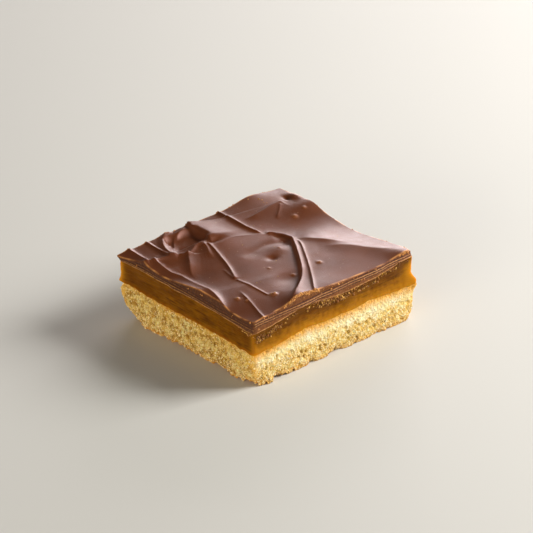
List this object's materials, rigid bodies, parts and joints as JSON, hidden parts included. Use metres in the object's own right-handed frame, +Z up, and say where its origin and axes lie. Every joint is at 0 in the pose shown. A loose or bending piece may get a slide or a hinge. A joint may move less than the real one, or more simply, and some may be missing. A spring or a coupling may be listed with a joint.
{
  "type": "millionaire shortbread",
  "caption": "Square slice of millionaire shortbread: crumbly biscuit base, thick caramel layer and knife-spread milk chocolate top, cut on all four sides.",
  "frame": {"origin": "middle of the outline, on the surface that the base rests on", "axes": "+Z up out of the chocolate top; +X along the longer side; the pictured front corner is at -X, -Y"},
  "size_m": [0.0686, 0.0628, 0.0247],
  "materials": {
    "shortbread": "matte, open crumb",
    "caramel": "satin, slightly translucent",
    "chocolate": "satin"
  },
  "bodies": {
    "root": {"shortbread_base": "shortbread", "caramel_layer": "caramel", "chocolate_topping": "chocolate"}
  },
  "joints": []
}
